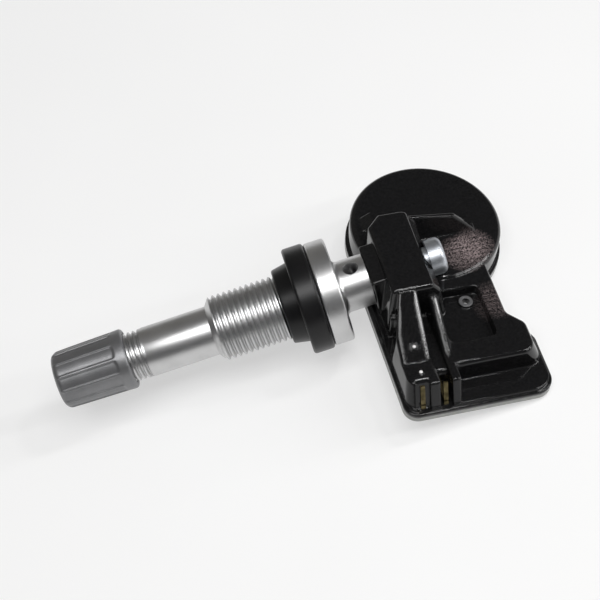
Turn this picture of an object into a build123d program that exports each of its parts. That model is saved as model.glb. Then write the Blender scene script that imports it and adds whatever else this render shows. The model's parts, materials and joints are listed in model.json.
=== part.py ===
from build123d import *
import os
from math import acos, cos, degrees, radians, sin, tan

# Tyre pressure sensor on a clamp-in valve stem, in millimetres
# Origin: centre of the rim seat, on the stem's axis. +X runs along the stem to the sensor, +Z is up.

# Stem, turned from one bar
CAP_THREAD_D = 7.7
CAP_THREAD_PITCH = 0.794
CAP_THREAD_LEN = 12.6
SHANK_D = 7.8
SHANK_LEN = 10.5
CONE_LEN = 0.9
NUT_THREAD_D = 10.3
NUT_THREAD_PITCH = 0.907
NUT_THREAD_LEN = 10.53
THREAD_ANGLE = 60
THREAD_CREST_FLAT = 0.22
THREAD_ROOT_FLAT = 0.1
THREAD_OVERCUT = 0.05
RELIEF_D = 9.2
FLANGE_D = 16.45
FLANGE_T = 3.3
FLANGE_ROUND = 0.45
NECK_D = 8.15
NECK_LEN = 4.75
NECK_FILLET = 0.8
SPIGOT_D = 5.6
SPIGOT_FLATS = 4.6
SPIGOT_LEN = 5.5
STEM_TIP_CHAMFER = 0.4
AIR_BORE_D = 3.0
AIR_HOLE_D = 2.2
AIR_HOLE_FROM_FLANGE = 2.52
SCREW_TAP_DEPTH = 5.6

# Rubber grommet in the rim hole
PLUG_LEN = 2.47
PLUG_TIP_D = 11.75
PLUG_D = 12.7
PLUG_ROUND = 0.4
RING_D = 16.95
RING_T = 3.45
RING_ROUND = 0.5

# Valve cap and its washer
CAP_D = 9.54
CAP_TIP_D = 9.05
CAP_END_T = 1.2
CAP_TIP_ROUND = 1.2
CAP_MOUTH_ROUND = 0.55
CAP_THREAD_SHOWN = 2.8
CAP_THREAD_CLEARANCE = 0.15
CAP_SKIRT_LEN = 2.1
CAP_RIBS = 12
CAP_RIB_H = 0.16
CAP_RIB_W = 0.5
CAP_SEAL_T = 0.65
CAP_SEAL_ID = 5.6
CAP_SEAL_CLEARANCE = 0.05

# Valve core in the stem's mouth
CORE_THREAD_D = 5.2
CORE_THREAD_CLEARANCE = 0.05
CORE_THREAD_LEN = 3.9
CORE_RECESS = 0.4
CORE_SLEEVE_D = 3.4
CORE_SLEEVE_LEN = 4.4
CORE_BORE_D = 2.4
CORE_SHOULDER_T = 0.8
CORE_SHOULDER_HOLE_D = 1.5
CORE_CHAMBER_D = 4.0
CORE_CHAMBER_ROOM = 3.2
CORE_SEAT_LEN = 0.8
CORE_GASKET_LEN = 1.2
CORE_PIN_D = 1.0
CORE_PIN_BELOW_TIP = 0.2
CORE_COLLAR_D = 2.1
CORE_COLLAR_T = 0.4
CORE_COLLAR_DEPTH = 0.4
CORE_CUP_D = 2.6
CORE_CUP_T = 0.8
CORE_WASHER_D = 2.4
CORE_WASHER_T = 0.55
CORE_WASHER_GAP = 0.05
CORE_SPRING_D = 1.86
CORE_SPRING_WIRE_D = 0.24
CORE_SPRING_TURNS = 8

# Saddle and its screw, measured along the stem
SADDLE_LEN = 9.8
SADDLE_FIT = 0.05
COLLAR_LEN = 3.2
COLLAR_W = 7.8
COLLAR_H = 3.5
COLLAR_ROUND = 0.4
SCREW_D = 3.94
SCREW_TAP_CLEARANCE = 0.03
SCREW_HOLE_D = 4.4
SCREW_HEAD_D = 5.8
SCREW_HEAD_H = 2.5
SCREW_HEAD_ROUND = 0.9
SCREW_ENGAGEMENT = 4.8
SCREW_RECESS_D = 2.9
SCREW_RECESS_LOBES = 6
SCREW_RECESS_LOBE_D = 0.9
SCREW_RECESS_DEPTH = 1.4

# Sensor body: its underside is tilted to the stem, whose axis enters the saddle at AXIS_HEIGHT
TILT = 13.7
AXIS_HEIGHT = 7.0
COVER_T = 1.0
FLANGE_EDGE_T = 0.7
LEDGE = 0.42
PLINTH_H = 0.5
FLANGE_EDGE_ROUND = 0.2
COVER_ROUND = 0.3

# Round end over the battery
DOME_X = 12.45
DOME_Y = 9.75
BASE_R = 12.55
DOME_ROOF_T = 1.5
DOME_ROUND = 1.05

# Foot block
FOOT_REACH = 23.05
FOOT_RIGHT = 23.7
WAIST_RIGHT = 20.5
FOOT_LEN = 10.45
STEP_RUN = 2.5
BASE_CORNERS = [2.3, 3.0, 1.6, 1.5]
FOOT_TOP = 6.0
FRONT_LEDGE = 4.7
FOOT_DRAFT_LEFT = 0.3
FOOT_DRAFT_FRONT = 0.2
FOOT_DRAFT_RIGHT = 1.9
FOOT_DRAFT_WAIST = 0.9
FOOT_CORNERS = [2.3, 2.2, 1.6, 1.5]
FOOT_ROUND = 0.6
FOOT_LEFT_END = -12.9
FOOT_BACK = 2.0

# Pocket with the pressure port
POCKET_LEFT = 9.2
POCKET_RIGHT = 16.6
POCKET_FRONT = -14.0
POCKET_BACK = -4.2
POCKET_FLOOR_T = 0.7
POCKET_CORNER = 0.9
POCKET_ROUND = 0.25
PORT_X = 14.3
PORT_Y = -5.9
PORT_D = 1.1
PORT_BOSS_D = 2.3
PORT_BOSS_H = 0.5
PORT_BOSS_ROUND = 0.15

# Tower over the spigot, with its legs and gusset
TOWER_TOP = 11.8
TOWER_LEFT = 1.4
TOWER_TOP_RIGHT = 7.9
TOWER_CHAMFER_H = 1.8
TOWER_FRONT = -7.2
TOWER_BACK = 8.5
TOWER_BACK_CUT = 2.2
TOWER_BACK_ROUND = 2.0
TOWER_ROUND = 0.65
LEG_ONE_LEFT_TOP = 2.4
LEG_ONE_RIGHT = 5.3
LEG_ONE_FOOT = -16.4
LEG_ONE_DROP = 0.3
LEG_TWO_LEFT = 7.3
LEG_TWO_RIGHT = 8.7
LEG_TWO_FOOT = -16.4
LEG_TWO_DROP = 2.2
LEG_ROUND = 0.6
LEG_OVERLAP = 0.6
GROOVE_DEPTH = 0.9
TOE_TOP = 6.5
TOE_T = 0.9
TOE_ROUND = 0.7
PIP_X = 3.0
PIPS_Y = [-14.4, -18.3]
PIP_R = 0.5
PIP_SINK = 0.25
GUSSET_FRONT = 6.3
GUSSET_T = 1.5
GUSSET_KNEE_X = 16.0
GUSSET_KNEE_Z = 9.9
GUSSET_TIP_X = 20.8
GUSSET_DRAFT = 1.1
GUSSET_ROUND = 0.25

# Sloping pad with a slot, left of the tower
PAD_FRONT = 4.4
PAD_BACK = 12.6
PAD_LEFT = 0.7
PAD_LEFT_Z = 5.5
PAD_RIGHT = 4.0
PAD_RIGHT_Z = 7.7
PAD_SLOT_X = 2.2
PAD_SLOT_Y = 8.8
PAD_SLOT_W = 0.9
PAD_SLOT_LEN = 2.4
PAD_SLOT_DEPTH = 1.3
PAD_BAR_D = 0.5

# Coin cell and its tabs
CELL_D = 20.0
CELL_H = 3.2
CELL_RIM = 0.6
CELL_CLEARANCE = 0.4
CELL_PAD_H = 0.3
CELL_PAD_D = 3.0
CELL_PAD_RADIUS = 6.5
CELL_PADS = 3
TAB_T = 0.2
TAB_W = 2.4
TAB_TOP_X = 14.0
TAB_BOTTOM_X = 10.4
TAB_CELL_GAP = 1.0
TAB_BOARD_GAP = 0.3
TAB_FOOT_LEN = 1.1
CHUTE_MARGIN = 0.3
CHUTE_DEPTH = 0.65

# Circuit board, in a bay under the foot and another under the pocket
BAY_LEFT = 2.0
BAY_RIGHT = 20.6
BAY_FRONT_WALL = 1.0
BAY_FOOT_LEN = 3.8
BAY_WAIST_LEFT = 6.0
BAY_WAIST_RIGHT = 17.8
BAY_BACK = -0.5
BOARD_T = 0.8
BOARD_GAP = 0.25
PILLAR_H = 0.4
PILLAR_D = 1.6
FOOT_PILLARS = [(3.4, 2.4), (19.0, 1.2)]
WAIST_PILLARS = [(7.6, -4.0), (16.6, -9.0)]

# Parts on the board
CHIP_SIDE = 4.0
CHIP_H = 1.1
PORT_GASKET_T = 0.2
PORT_GASKET_D = 3.4
PORT_FILTER_D = 1.8
PORT_FILTER_CLEARANCE = 0.05
CRYSTAL_X = 9.2
CRYSTAL_Y = -8.6
CRYSTAL_LEN = 3.2
CRYSTAL_W = 1.6
CRYSTAL_H = 0.8
COIL_X = 12.2
COIL_Y = -11.3
COIL_LEN = 5.0
COIL_D = 1.1
COIL_CORE_D = 0.6
COIL_END_LEN = 1.0
COIL_END_W = 1.2
ANTENNA_X = 11.5
ANTENNA_FROM_FRONT = 1.75
ANTENNA_LEN = 13.0
ANTENNA_W = 0.9
ANTENNA_H = 1.1
ANTENNA_T = 0.3
ANTENNA_FOOT = 1.0
CAPACITOR_LEN = 1.0
CAPACITOR_W = 0.5
CAPACITOR_H = 0.5
CAPACITOR_PITCH = 0.95
CAPACITORS = 5
CAPACITOR_X = 16.2
CAPACITOR_FROM_STEP = 0.9

# Contact strips in slots of a block that stands forward of the foot
CONTACT_BLOCK_DRAFT = 2.0
CONTACT_BLOCK_CORNER = 0.5
CONTACT_BLOCK_ROUND = 0.35
LEFT_SLOT_X = 2.7
LEFT_SLOT_W = 2.2
SLOT_DEPTH = 0.9
SLOT_ROUND = 0.8
STRIP_W = 0.7
STRIP_T = 0.25
STRIP_TOP_GAP = 0.8
STRIP_FOOT_ON_BOARD = 0.8
STRIP_WINDOW_CLEARANCE = 0.05

# Places along the stem, worked out from the seat
x_thread_end = -PLUG_LEN
x_cone = x_thread_end - NUT_THREAD_LEN
x_shank = x_cone - CONE_LEN
x_cap_thread = x_shank - SHANK_LEN
x_tip = x_cap_thread - CAP_THREAD_LEN
x_flange = RING_T
x_neck = x_flange + FLANGE_T
x_saddle = x_neck + NECK_LEN
x_spigot_end = x_saddle + SPIGOT_LEN
x_screw_seat = x_saddle + SADDLE_LEN
x_air_hole = x_neck + AIR_HOLE_FROM_FLANGE
x_core_top = x_tip + CORE_RECESS
x_core_thread = x_core_top + CORE_THREAD_LEN
x_core_end = x_core_thread + CORE_SLEEVE_LEN
x_core_seat = x_core_thread + CORE_SEAT_LEN
x_spring_top = x_core_top + CORE_COLLAR_DEPTH + CORE_COLLAR_T
x_spring_end = x_core_end - CORE_SHOULDER_T
x_washer = x_core_end + CORE_WASHER_GAP
x_cup = x_washer + CORE_WASHER_T
x_cap_seal = x_tip - CAP_SEAL_CLEARANCE - CAP_SEAL_T

# Left edge of the sensor body, straight and tangent to its round end
base_left = DOME_X - BASE_R

# Heights in the sensor body, worked out from its underside
z_edge = COVER_T + FLANGE_EDGE_T
z_plinth = z_edge + PLINTH_H
z_cell = COVER_T + CELL_PAD_H + TAB_T
z_cell_top = z_cell + CELL_H
z_cell_roof = z_cell_top + TAB_T
z_dome = z_cell_roof + DOME_ROOF_T
z_board = COVER_T + PILLAR_H
z_board_top = z_board + BOARD_T
z_chip_top = z_board_top + CHIP_H
z_bay_roof = z_chip_top + PORT_GASKET_T
z_pocket = z_bay_roof + POCKET_FLOOR_T

# Walls and edges along the sensor body
y_step_front = FOOT_LEN - FOOT_REACH
y_step_back = y_step_front + STEP_RUN
y_foot_front = FRONT_LEDGE - FOOT_REACH
y_bay_front = y_foot_front + BAY_FRONT_WALL
y_bay_step = y_bay_front + BAY_FOOT_LEN
y_tab = DOME_Y - CELL_D / 2 - TAB_CELL_GAP
y_board_back = y_tab - TAB_T - TAB_BOARD_GAP
y_chute = y_tab - TAB_T - CHUTE_DEPTH

# Middles of the two contact slots: the right one ends the groove between the legs
slot_x = {
    "contact_strip_left": LEFT_SLOT_X,
    "contact_strip_right": (LEG_ONE_RIGHT + LEG_TWO_LEFT) / 2,
}
z_groove = FOOT_TOP - GROOVE_DEPTH

# How close an edge must lie to a place to count as being there
NEAR = 0.01

# From the sensor body's own axes to the stem's
BODY_PLACE = Pos(x_saddle, 0, 0) * Rot(0, TILT, 0) * Pos(0, 0, -AXIS_HEIGHT)


def turned(points):
    """Solid of revolution about the stem's axis, from (x, radius) points."""
    return revolve(make_face(Polyline(*points, close=True)), Axis.X)


def rod(x_from, x_to, diameter):
    """Cylinder on the stem's axis."""
    return Pos((x_from + x_to) / 2, 0, 0) * Rot(0, 90, 0) * Cylinder(diameter / 2, x_to - x_from)


def block(x, y, z):
    """Box from three (low, high) spans."""
    size = [high - low for low, high in (x, y, z)]
    middle = [(low + high) / 2 for low, high in (x, y, z)]
    return Pos(*middle) * Box(*size)


def prism_along_x(points, x_from, x_to):
    """Solid from (y, z) points, drawn out along X."""
    outline = Polyline(*[(x_from, y, z) for y, z in points], close=True)
    return extrude(make_face(outline), x_to - x_from, (1, 0, 0))


def prism_along_y(points, y_from, y_to):
    """Solid from (x, z) points, drawn out along Y."""
    outline = Polyline(*[(x, y_from, z) for x, z in points], close=True)
    return extrude(make_face(outline), y_to - y_from, (0, 1, 0))


def post(x, y, z_from, z_to, diameter):
    """Upright cylinder in the sensor body's axes."""
    return Pos(x, y, (z_from + z_to) / 2) * Cylinder(diameter / 2, z_to - z_from)


def rim_edges(shape, x, radius):
    """Circles about the stem's axis at one place and radius."""
    circles = shape.edges().filter_by(GeomType.CIRCLE)
    return circles.filter_by(lambda e: abs(e.arc_center.X - x) < NEAR and abs(e.radius - radius) < NEAR)


def edges_at(shape, axis, place):
    """Edges that lie in the plane at one place along an axis."""
    return shape.edges().filter_by_position(axis, place - NEAR, place + NEAR)


def edges_above(shape, z):
    """Edges whose middles are higher than one place."""
    return shape.edges().filter_by(lambda e: e.center().Z > z + NEAR)


def make_thread_groove(x_from, x_to, diameter, pitch):
    """Groove of a right-hand thread, whose middle runs from one place along the stem to another."""
    flank = tan(radians(THREAD_ANGLE / 2))
    depth = (pitch - THREAD_CREST_FLAT - THREAD_ROOT_FLAT) / 2 / flank
    root = diameter / 2 - depth
    outer = diameter / 2 + THREAD_OVERCUT
    half_root = THREAD_ROOT_FLAT / 2
    half_outer = half_root + (outer - root) * flank
    section = make_face(Polyline(
        (root, 0, -half_root),
        (outer, 0, -half_outer),
        (outer, 0, half_outer),
        (root, 0, half_root),
        close=True,
    ))
    groove = sweep(section, Helix(pitch, x_to - x_from, root), is_frenet=True)
    return Pos(x_from, 0, 0) * Rot(0, 90, 0) * groove


def make_stem():
    outside = turned([
        (x_tip, 0),
        (x_tip, CAP_THREAD_D / 2 - STEM_TIP_CHAMFER),
        (x_tip + STEM_TIP_CHAMFER, CAP_THREAD_D / 2),
        (x_cap_thread, CAP_THREAD_D / 2),
        (x_cap_thread, SHANK_D / 2),
        (x_shank, SHANK_D / 2),
        (x_cone, NUT_THREAD_D / 2),
        (x_thread_end, NUT_THREAD_D / 2),
        (x_thread_end, RELIEF_D / 2),
        (x_flange, RELIEF_D / 2),
        (x_flange, FLANGE_D / 2),
        (x_neck, FLANGE_D / 2),
        (x_neck, NECK_D / 2),
        (x_saddle, NECK_D / 2),
        (x_saddle, SPIGOT_D / 2),
        (x_spigot_end, SPIGOT_D / 2),
        (x_spigot_end, 0),
    ])
    flange_rims = rim_edges(outside, x_flange, FLANGE_D / 2) + rim_edges(outside, x_neck, FLANGE_D / 2)
    outside = fillet(flange_rims, FLANGE_ROUND)
    outside = fillet(rim_edges(outside, x_neck, NECK_D / 2), NECK_FILLET)
    for side in (1, -1):
        beyond = (SPIGOT_D - SPIGOT_FLATS) / 2
        cut = Pos((x_saddle + x_spigot_end) / 2, 0, side * (SPIGOT_FLATS + beyond) / 2)
        outside -= cut * Box(SPIGOT_LEN, SPIGOT_D, beyond)

    mouth_d = CORE_THREAD_D + 2 * CORE_THREAD_CLEARANCE
    x_chamber_end = x_core_end + CORE_CHAMBER_ROOM
    x_bore_end = x_air_hole + AIR_HOLE_D / 2
    bore = turned([
        (x_tip, 0),
        (x_tip, mouth_d / 2),
        (x_core_thread, mouth_d / 2),
        (x_core_seat, CORE_CHAMBER_D / 2),
        (x_chamber_end, CORE_CHAMBER_D / 2),
        (x_chamber_end, AIR_BORE_D / 2),
        (x_bore_end, AIR_BORE_D / 2),
        (x_bore_end, 0),
    ])
    air_hole = post(x_air_hole, 0, 0, NECK_D, AIR_HOLE_D)
    tap_d = SCREW_D + 2 * SCREW_TAP_CLEARANCE
    tapped_hole = rod(x_spigot_end - SCREW_TAP_DEPTH, x_spigot_end, tap_d)
    x_start = x_tip + STEM_TIP_CHAMFER - CAP_THREAD_PITCH
    x_stop = x_cap_thread - CAP_THREAD_PITCH / 2
    cap_thread = make_thread_groove(x_start, x_stop, CAP_THREAD_D, CAP_THREAD_PITCH)
    x_start = x_cone - NUT_THREAD_PITCH
    x_stop = x_thread_end + NUT_THREAD_PITCH
    nut_thread = make_thread_groove(x_start, x_stop, NUT_THREAD_D, NUT_THREAD_PITCH)
    return outside - cap_thread - nut_thread - bore - air_hole - tapped_hole


def make_grommet():
    grommet = turned([
        (x_thread_end, RELIEF_D / 2),
        (x_thread_end, PLUG_TIP_D / 2),
        (0, PLUG_D / 2),
        (0, RING_D / 2),
        (RING_T, RING_D / 2),
        (RING_T, RELIEF_D / 2),
    ])
    grommet = fillet(rim_edges(grommet, 0, RING_D / 2) + rim_edges(grommet, RING_T, RING_D / 2), RING_ROUND)
    return fillet(rim_edges(grommet, x_thread_end, PLUG_TIP_D / 2), PLUG_ROUND)


def make_cap():
    x_mouth = x_cap_thread - CAP_THREAD_SHOWN
    x_closed = x_cap_seal - CAP_END_T
    x_skirt = x_mouth - CAP_SKIRT_LEN
    outside = turned([(x_closed, 0), (x_closed, CAP_TIP_D / 2), (x_mouth, CAP_D / 2), (x_mouth, 0)])
    outside = fillet(rim_edges(outside, x_closed, CAP_TIP_D / 2), CAP_TIP_ROUND)
    outside = fillet(rim_edges(outside, x_mouth, CAP_D / 2), CAP_MOUTH_ROUND)
    grip = outside & rod(x_closed, x_skirt, CAP_D)
    core = turned([
        (x_closed + CAP_RIB_H, 0),
        (x_closed + CAP_RIB_H, CAP_TIP_D / 2 - CAP_RIB_H),
        (x_skirt, CAP_D / 2 - CAP_RIB_H),
        (x_skirt, 0),
    ])
    core = fillet(rim_edges(core, x_closed + CAP_RIB_H, CAP_TIP_D / 2 - CAP_RIB_H), CAP_TIP_ROUND)
    end_face = rod(x_closed, x_closed + CAP_END_T, CAP_TIP_D - 2 * CAP_TIP_ROUND)
    rib_z = (CAP_TIP_D / 2 - CAP_TIP_ROUND, CAP_D / 2)
    rib = block((x_closed, x_skirt), (-CAP_RIB_W / 2, CAP_RIB_W / 2), rib_z)
    ribs = [Rot(360 * n / CAP_RIBS, 0, 0) * rib for n in range(CAP_RIBS)]
    skirt = outside & rod(x_skirt, x_mouth, CAP_D)
    inside = rod(x_cap_seal, x_mouth, CAP_THREAD_D + 2 * CAP_THREAD_CLEARANCE)
    return core + end_face + (grip & ribs) + skirt - inside


def make_cap_seal():
    washer = rod(x_cap_seal, x_cap_seal + CAP_SEAL_T, CAP_THREAD_D)
    return washer - rod(x_cap_seal, x_cap_seal + CAP_SEAL_T, CAP_SEAL_ID)


def make_core_barrel():
    barrel = turned([
        (x_core_top, 0),
        (x_core_top, CORE_THREAD_D / 2),
        (x_core_thread - CORE_SEAT_LEN, CORE_THREAD_D / 2),
        (x_core_thread, CORE_SLEEVE_D / 2),
        (x_core_end, CORE_SLEEVE_D / 2),
        (x_core_end, 0),
    ])
    barrel -= rod(x_core_top, x_spring_end, CORE_BORE_D)
    return barrel - rod(x_spring_end, x_core_end, CORE_SHOULDER_HOLE_D)


def make_core_gasket():
    ring = rod(x_core_seat, x_core_seat + CORE_GASKET_LEN, CORE_CHAMBER_D)
    return ring - rod(x_core_seat, x_core_seat + CORE_GASKET_LEN, CORE_SLEEVE_D)


def make_core_pin():
    x_collar = x_core_top + CORE_COLLAR_DEPTH
    pin = rod(x_tip + CORE_PIN_BELOW_TIP, x_cup + CORE_CUP_T, CORE_PIN_D)
    collar = rod(x_collar, x_collar + CORE_COLLAR_T, CORE_COLLAR_D)
    cup = rod(x_cup, x_cup + CORE_CUP_T, CORE_CUP_D)
    return pin + collar + cup


def make_core_washer():
    return rod(x_washer, x_cup, CORE_WASHER_D) - rod(x_washer, x_cup, CORE_PIN_D)


def make_core_spring():
    coil_r = (CORE_SPRING_D - CORE_SPRING_WIRE_D) / 2
    coil_len = x_spring_end - x_spring_top - CORE_SPRING_WIRE_D
    path = Helix(coil_len / CORE_SPRING_TURNS, coil_len, coil_r)
    section = Plane(path @ 0, z_dir=path % 0) * Circle(CORE_SPRING_WIRE_D / 2)
    coil = sweep(section, path, is_frenet=True)
    return Pos(x_spring_top + CORE_SPRING_WIRE_D / 2, 0, 0) * Rot(0, 90, 0) * coil


def make_screw():
    x_head_end = x_screw_seat + SCREW_HEAD_H
    head = rod(x_screw_seat, x_head_end, SCREW_HEAD_D)
    head = fillet(rim_edges(head, x_head_end, SCREW_HEAD_D / 2), SCREW_HEAD_ROUND)
    shank = rod(x_spigot_end - SCREW_ENGAGEMENT, x_screw_seat, SCREW_D)
    star = Circle(SCREW_RECESS_D / 2)
    for n in range(SCREW_RECESS_LOBES):
        turn = Rot(0, 0, 360 * n / SCREW_RECESS_LOBES)
        star += turn * Pos(SCREW_RECESS_D / 2, 0) * Circle(SCREW_RECESS_LOBE_D / 2)
    recess = extrude(Plane((x_head_end, 0, 0), z_dir=(-1, 0, 0)) * star, SCREW_RECESS_DEPTH)
    return head + shank - recess


def base_outline(inset):
    """Plan of the sensor body: a round end run into a foot that is wider on the right."""
    radius = BASE_R - inset
    waist = WAIST_RIGHT - inset
    start = -degrees(acos((waist - DOME_X) / radius))
    round_end = CenterArc((DOME_X, DOME_Y), radius, start, 180 - start)
    sides = FilletPolyline(
        (base_left + inset, DOME_Y),
        (base_left + inset, inset - FOOT_REACH),
        (FOOT_RIGHT - inset, inset - FOOT_REACH),
        (FOOT_RIGHT - inset, y_step_front),
        (waist, y_step_back),
        (waist, DOME_Y + radius * sin(radians(start))),
        radius=BASE_CORNERS,
    )
    return make_face(sides.edges() + round_end.edges())


def foot_outline(left, front, right, waist):
    """Plan of the foot block, with its outer walls moved in."""
    x_left = base_left + left
    x_waist = WAIST_RIGHT - waist
    walls = FilletPolyline(
        (x_left, FOOT_LEFT_END),
        (x_left, y_foot_front + front),
        (FOOT_RIGHT - right, y_foot_front + front),
        (FOOT_RIGHT - right, y_step_front),
        (x_waist, y_step_back),
        (x_waist, FOOT_BACK),
        radius=FOOT_CORNERS,
    )
    back = Polyline(
        (x_waist, FOOT_BACK),
        (LEG_ONE_LEFT_TOP, FOOT_BACK),
        (LEG_ONE_LEFT_TOP, TOWER_FRONT),
        (x_left, FOOT_LEFT_END),
    )
    return make_face(walls.edges() + back.edges())


def make_foot_block():
    low = Pos(0, 0, z_edge) * foot_outline(LEDGE, 0, LEDGE, LEDGE)
    high = Pos(0, 0, FOOT_TOP) * foot_outline(
        LEDGE + FOOT_DRAFT_LEFT,
        FOOT_DRAFT_FRONT,
        LEDGE + FOOT_DRAFT_RIGHT,
        LEDGE + FOOT_DRAFT_WAIST,
    )
    foot = loft([low, high], ruled=True)
    outer_top = edges_at(foot, Axis.Z, FOOT_TOP).filter_by(
        lambda e: e.center().Y < FOOT_BACK - NEAR
        and (e.center().X > LEG_ONE_LEFT_TOP + NEAR or e.center().Y < FOOT_LEFT_END)
    )
    foot = fillet(outer_top, FOOT_ROUND)
    pocket = block((POCKET_LEFT, POCKET_RIGHT), (POCKET_FRONT, POCKET_BACK), (z_pocket, FOOT_TOP))
    pocket = fillet(pocket.edges().filter_by(Axis.Z), POCKET_CORNER)
    foot -= pocket
    rim = edges_at(foot, Axis.Z, FOOT_TOP)
    rim = rim.filter_by_position(Axis.X, POCKET_LEFT - NEAR, POCKET_RIGHT + NEAR)
    rim = rim.filter_by_position(Axis.Y, POCKET_FRONT - NEAR, POCKET_BACK + NEAR)
    return fillet(rim, POCKET_ROUND)


def contact_block_outline(left, front):
    """Plan of the block that holds the contacts, with its outer walls moved in from the base outline."""
    walls = FilletPolyline(
        (base_left + left, FOOT_LEFT_END),
        (base_left + left, front - FOOT_REACH),
        (LEG_TWO_RIGHT, front - FOOT_REACH),
        (LEG_TWO_RIGHT, FOOT_LEFT_END),
        radius=[BASE_CORNERS[0], CONTACT_BLOCK_CORNER],
    )
    back = Line((LEG_TWO_RIGHT, FOOT_LEFT_END), (base_left + left, FOOT_LEFT_END))
    return make_face(walls.edges() + back.edges())


def make_contact_block():
    low = Pos(0, 0, z_edge) * contact_block_outline(LEDGE, LEDGE)
    high = contact_block_outline(LEDGE + FOOT_DRAFT_LEFT, LEDGE + CONTACT_BLOCK_DRAFT)
    holder = loft([low, Pos(0, 0, FOOT_TOP) * high], ruled=True)
    outer_top = edges_at(holder, Axis.Z, FOOT_TOP).filter_by(lambda e: e.center().Y < FOOT_LEFT_END - NEAR)
    return fillet(outer_top, CONTACT_BLOCK_ROUND)


def make_tower():
    x_seat = SADDLE_LEN / cos(radians(TILT))
    lean = tan(radians(TILT))
    z_chamfer = TOWER_TOP - TOWER_CHAMFER_H
    tower = prism_along_y([
        (TOWER_LEFT, z_edge),
        (TOWER_LEFT, TOWER_TOP),
        (TOWER_TOP_RIGHT, TOWER_TOP),
        (x_seat - lean * (z_chamfer - AXIS_HEIGHT), z_chamfer),
        (x_seat - lean * (z_edge - AXIS_HEIGHT), z_edge),
    ], TOWER_FRONT, TOWER_BACK)
    uprights = edges_at(tower, Axis.Y, TOWER_BACK)
    tower = chamfer(uprights.filter_by(Axis.Z), TOWER_BACK_CUT)
    tower = fillet(edges_at(tower, Axis.Y, TOWER_BACK).sort_by(Axis.X)[-1], TOWER_BACK_ROUND)
    return fillet(edges_above(tower, z_edge), TOWER_ROUND)


def make_leg(x_left, x_right, z_top, y_foot):
    """Rib that slopes from the tower's front down to the top of the foot."""
    y_start = TOWER_FRONT + LEG_OVERLAP
    leg = prism_along_x([
        (y_start, z_edge),
        (y_start, z_top),
        (TOWER_FRONT, z_top),
        (y_foot, FOOT_TOP),
        (y_foot, z_edge),
    ], x_left, x_right)
    slopes = leg.edges().filter_by(lambda e: abs(e.tangent_at(0).Y * e.tangent_at(0).Z) > NEAR)
    return fillet(slopes, LEG_ROUND)


def make_legs():
    x_left = base_left + LEDGE + FOOT_DRAFT_LEFT
    y_start = TOWER_FRONT + LEG_OVERLAP
    plan = make_face(Polyline(
        (LEG_ONE_LEFT_TOP, y_start),
        (LEG_ONE_LEFT_TOP, TOWER_FRONT),
        (x_left, FOOT_LEFT_END),
        (x_left, LEG_ONE_FOOT),
        (LEG_ONE_RIGHT, LEG_ONE_FOOT),
        (LEG_ONE_RIGHT, y_start),
        close=True,
    ))
    leg_one = make_leg(x_left, LEG_ONE_RIGHT, TOWER_TOP - LEG_ONE_DROP, LEG_ONE_FOOT)
    leg_one &= extrude(plan, TOWER_TOP)
    leg_two = make_leg(LEG_TWO_LEFT, LEG_TWO_RIGHT, TOWER_TOP - LEG_TWO_DROP, LEG_TWO_FOOT)
    return leg_one + leg_two


def make_toe():
    """Low step beside leg one, with a round top edge."""
    y = (TOWER_FRONT - TOE_T, TOWER_FRONT)
    toe = block((TOWER_LEFT, LEG_ONE_RIGHT), y, (z_edge, TOE_TOP))
    return fillet(edges_at(toe, Axis.Z, TOE_TOP).filter_by(Axis.X).sort_by(Axis.Y)[0], TOE_ROUND)


def make_pips():
    """Small round pips on leg one's slope and on the contact block."""
    climb = (TOWER_TOP - LEG_ONE_DROP - FOOT_TOP) / (TOWER_FRONT - LEG_ONE_FOOT)
    heights = [FOOT_TOP + climb * max(y - LEG_ONE_FOOT, 0) for y in PIPS_Y]
    return [Pos(PIP_X, y, z - PIP_SINK) * Sphere(PIP_R) for y, z in zip(PIPS_Y, heights)]


def make_gusset():
    """Web on the dome, leaning back as it rises, from the tower to a point."""
    y_back = GUSSET_FRONT + GUSSET_T
    side = prism_along_y([
        (TOWER_TOP_RIGHT, z_edge),
        (TOWER_TOP_RIGHT, TOWER_TOP - TOWER_ROUND),
        (GUSSET_KNEE_X, GUSSET_KNEE_Z),
        (GUSSET_TIP_X, z_dome - DOME_ROUND),
        (GUSSET_TIP_X, z_edge),
    ], GUSSET_FRONT, y_back)
    section = prism_along_x([
        (GUSSET_FRONT, z_edge),
        (GUSSET_FRONT, z_dome),
        (GUSSET_FRONT + GUSSET_DRAFT, TOWER_TOP),
        (y_back, TOWER_TOP),
        (y_back, z_edge),
    ], TOWER_TOP_RIGHT, GUSSET_TIP_X)
    gusset = side & section
    ridge = edges_above(gusset, z_dome).filter_by(lambda e: e.center().X > TOWER_TOP_RIGHT + NEAR)
    ridge_t = GUSSET_T - GUSSET_DRAFT
    return fillet(ridge.filter_by(lambda e: e.length > GUSSET_T), min(GUSSET_ROUND, ridge_t / 2))


def make_pad():
    pad = prism_along_y([
        (PAD_LEFT, z_edge),
        (PAD_LEFT, PAD_LEFT_Z),
        (PAD_RIGHT, PAD_RIGHT_Z),
        (PAD_RIGHT, z_edge),
    ], PAD_FRONT, PAD_BACK)
    pad &= post(DOME_X, DOME_Y, z_edge, PAD_RIGHT_Z, 2 * (BASE_R - LEDGE))
    slot_z = PAD_LEFT_Z + (PAD_RIGHT_Z - PAD_LEFT_Z) * (PAD_SLOT_X - PAD_LEFT) / (PAD_RIGHT - PAD_LEFT)
    slot = Pos(PAD_SLOT_X, PAD_SLOT_Y, slot_z) * Box(PAD_SLOT_W, PAD_SLOT_LEN, 2 * PAD_SLOT_DEPTH)
    bar = Rot(0, 90, 0) * Cylinder(PAD_BAR_D / 2, PAD_SLOT_W)
    return pad - slot + Pos(PAD_SLOT_X, PAD_SLOT_Y, slot_z - PAD_BAR_D) * bar


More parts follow.
